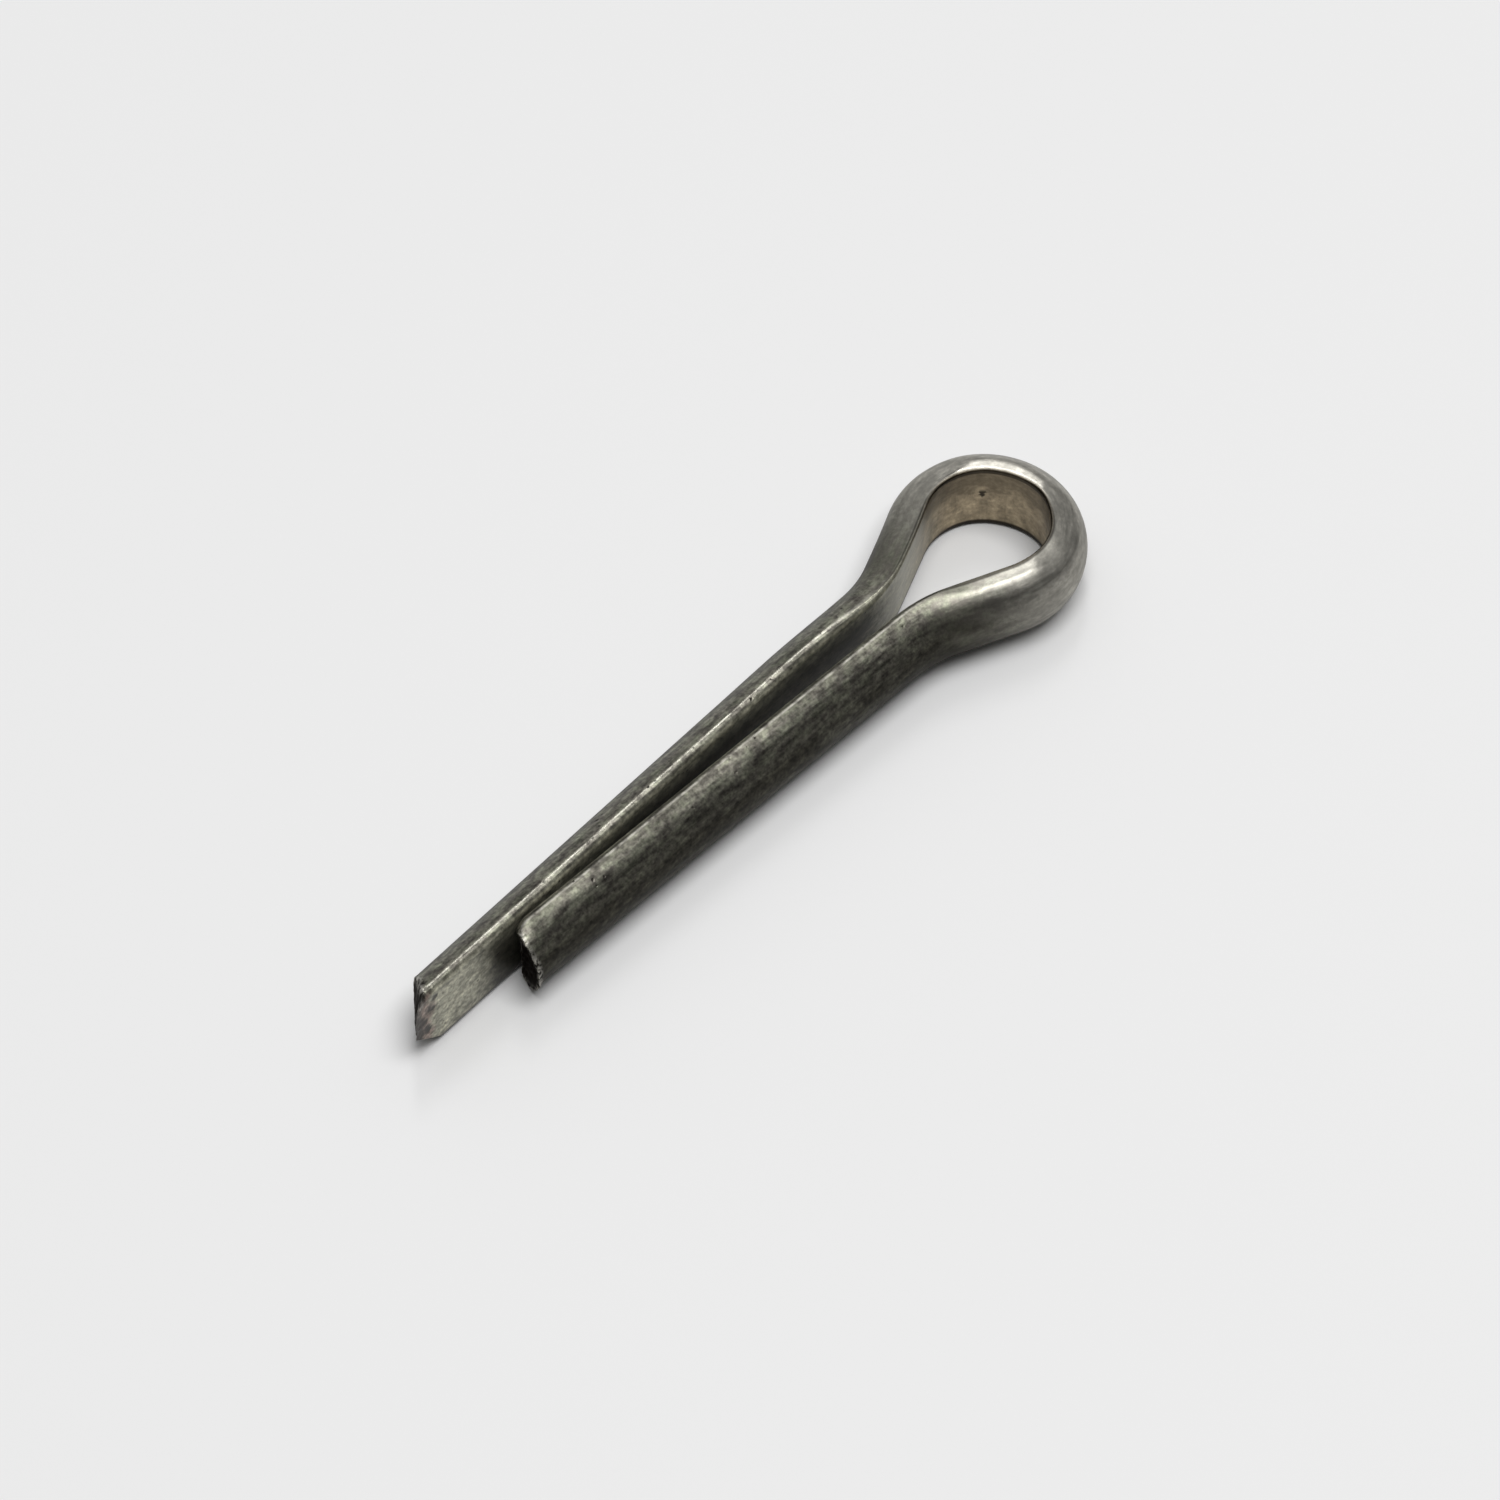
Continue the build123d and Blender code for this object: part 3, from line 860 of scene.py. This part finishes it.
def soft_room(top, strength):
    """A room that is bright overhead and fades to dim below."""
    world = bpy.data.worlds.new("Soft room")
    world.use_nodes = True
    tree = world.node_tree
    looking = add(tree, "ShaderNodeTexCoord")
    toward = add(tree, VECTOR, looking, top, operation="DOT_PRODUCT", out=1)
    toward = add(tree, RANGE, toward, -1.0, 1.0, 0.0, 1.0)
    ramp = add(tree, "ShaderNodeValToRGB", toward, out=None)
    elements = ramp.color_ramp.elements
    for stop in ROOM_LEVELS[1:-1]:
        elements.new(stop[0])
    for element, (place, level) in zip(elements, ROOM_LEVELS):
        element.position = place
        element.color = (level, level, level, 1)
    background = tree.nodes["Background"]
    tree.links.new(ramp.outputs[0], background.inputs["Color"])
    background.inputs["Strength"].default_value = strength
    return world


def seen(direction, azimuth):
    """Turns a direction that the camera sees as right, away and up into one of the frame."""
    right = Vector((cos(azimuth), -sin(azimuth), 0))
    away = Vector((sin(azimuth), cos(azimuth), 0))
    return direction[0] * right + direction[1] * away + direction[2] * Vector((0, 0, 1))


def hang_lamp(scene, name, target, direction, size, watts):
    """Hangs a soft lamp that shines at the target from a direction."""
    light = bpy.data.lights.new(name, "AREA")
    light.shape = "RECTANGLE"
    light.size, light.size_y = size
    light.energy = watts
    lamp = bpy.data.objects.new(name, light)
    lamp.location = target + direction.normalized() * LAMP_DISTANCE
    lamp.rotation_euler = (-direction).to_track_quat("-Z", "Y").to_euler()
    scene.collection.objects.link(lamp)


class COTTER_OT_bend_wire(bpy.types.Operator):
    """Bend the half-round wire into the pin."""

    bl_idname = "cotter.bend_wire"
    bl_label = "Bend Wire"

    def execute(self, context):
        scene = context.scene
        section, detail = scene.cotter_section, scene.cotter_detail
        lead = section.wire_thickness * LEAD_SHARE
        points, values = flat_face_line(
            section.wire_thickness, scene.cotter_bends, lead, detail.ring_spacing
        )
        for group in (section, scene.cotter_marks, scene.cotter_ends, detail):
            values.update({key: getattr(group, key) for key in type(group).__annotations__})

        curve = bpy.data.curves.new("flat_face_line", "CURVE")
        curve.dimensions = "3D"
        spline = curve.splines.new("POLY")
        spline.points.add(len(points) - 1)
        for point, target in zip(points, spline.points):
            target.co = (*point, 1)
        wire = bpy.data.objects.new("flat_face_line", curve)
        context.collection.objects.link(wire)
        tree = wire_tree(drawn_steel(scene.cotter_colours, scene.cotter_patterns), values)
        modifier = wire.modifiers.new("Half-round wire", "NODES")
        modifier.node_group = tree
        for item in tree.interface.items_tree:
            if item.in_out == "INPUT" and item.name in values:
                modifier[item.identifier] = values[item.name]
        context.view_layer.update()
        evaluated = wire.evaluated_get(context.evaluated_depsgraph_get())
        mesh = bpy.data.meshes.new_from_object(evaluated)
        if not mesh.polygons:
            raise RuntimeError("the wire has no faces")
        mesh.name = "pin_wire"
        pin = bpy.data.objects.new("pin_wire", mesh)
        context.collection.objects.link(pin)
        bpy.data.objects.remove(wire)
        bpy.data.curves.remove(curve)
        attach(pin, "root")
        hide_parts(NODE)
        return {"FINISHED"}


class COTTER_OT_set_stage(bpy.types.Operator):
    """Lay the pale floor, hang the lights and place the camera."""

    bl_idname = "cotter.set_stage"
    bl_label = "Set Stage"

    def execute(self, context):
        scene, stage = context.scene, context.scene.cotter_stage
        target, azimuth = Vector(stage.target), stage.azimuth

        z = PIN_LOW.z - FLOOR_DROP
        corners = [(x * FLOOR_HALF, y * FLOOR_HALF, z) for x, y in ((-1, -1), (1, -1), (1, 1), (-1, 1))]
        mesh = bpy.data.meshes.new("floor")
        mesh.from_pydata(corners, [], [(0, 1, 2, 3)])
        mesh.materials.append(matt_paper(stage.floor))
        floor = bpy.data.objects.new("floor", mesh)
        scene.collection.objects.link(floor)

        # One soft light overhead and a little behind, fading into a dim room.
        scene.world = soft_room(seen(ROOM_TOP, azimuth).normalized(), stage.room)
        hang_lamp(scene, "strip_light", target, seen(STRIP_FROM, azimuth), STRIP_SIZE, stage.strip)
        hang_lamp(scene, "key_softbox", target, seen(KEY_FROM, azimuth), KEY_SIZE, stage.key)

        camera = bpy.data.cameras.new("camera")
        camera.sensor_width = SENSOR_WIDTH
        camera.lens = SENSOR_WIDTH * stage.distance / stage.view_width
        camera.clip_start = NEAR_CLIP
        viewer = bpy.data.objects.new("camera", camera)
        offset = seen((0, -cos(stage.elevation), sin(stage.elevation)), azimuth)
        viewer.location = target + offset * stage.distance
        viewer.rotation_euler = (-offset).to_track_quat("-Z", "Y").to_euler()
        scene.collection.objects.link(viewer)
        scene.camera = viewer
        scene.view_settings.view_transform = "Standard"
        return {"FINISHED"}


class COTTER_PT_panel(bpy.types.Panel):
    """Lists the pin's steps and sizes."""

    bl_label = "Cotter Pin"
    bl_space_type = "VIEW_3D"
    bl_region_type = "UI"
    bl_category = "Cotter Pin"

    def draw(self, context):
        self.layout.operator(COTTER_OT_bend_wire.bl_idname)
        self.layout.operator(COTTER_OT_set_stage.bl_idname)
        for name, group in GROUPS.items():
            for key in group.__annotations__:
                self.layout.prop(getattr(context.scene, name), key)


GROUPS = {
    "cotter_section": WireSection,
    "cotter_bends": BendSizes,
    "cotter_marks": FormingMarks,
    "cotter_ends": EndSizes,
    "cotter_detail": MeshDetail,
    "cotter_colours": SteelColours,
    "cotter_patterns": SteelPatterns,
    "cotter_stage": StageSettings,
}
CLASSES = (*GROUPS.values(), COTTER_OT_bend_wire, COTTER_OT_set_stage, COTTER_PT_panel)


def register():
    for cls in CLASSES:
        bpy.utils.register_class(cls)
    for name, group in GROUPS.items():
        setattr(bpy.types.Scene, name, PointerProperty(type=group))


def unregister():
    for name in GROUPS:
        delattr(bpy.types.Scene, name)
    for cls in reversed(CLASSES):
        bpy.utils.unregister_class(cls)


def main():
    register()
    bpy.ops.cotter.bend_wire()
    bpy.ops.cotter.set_stage()


if __name__ == "__main__":
    main()
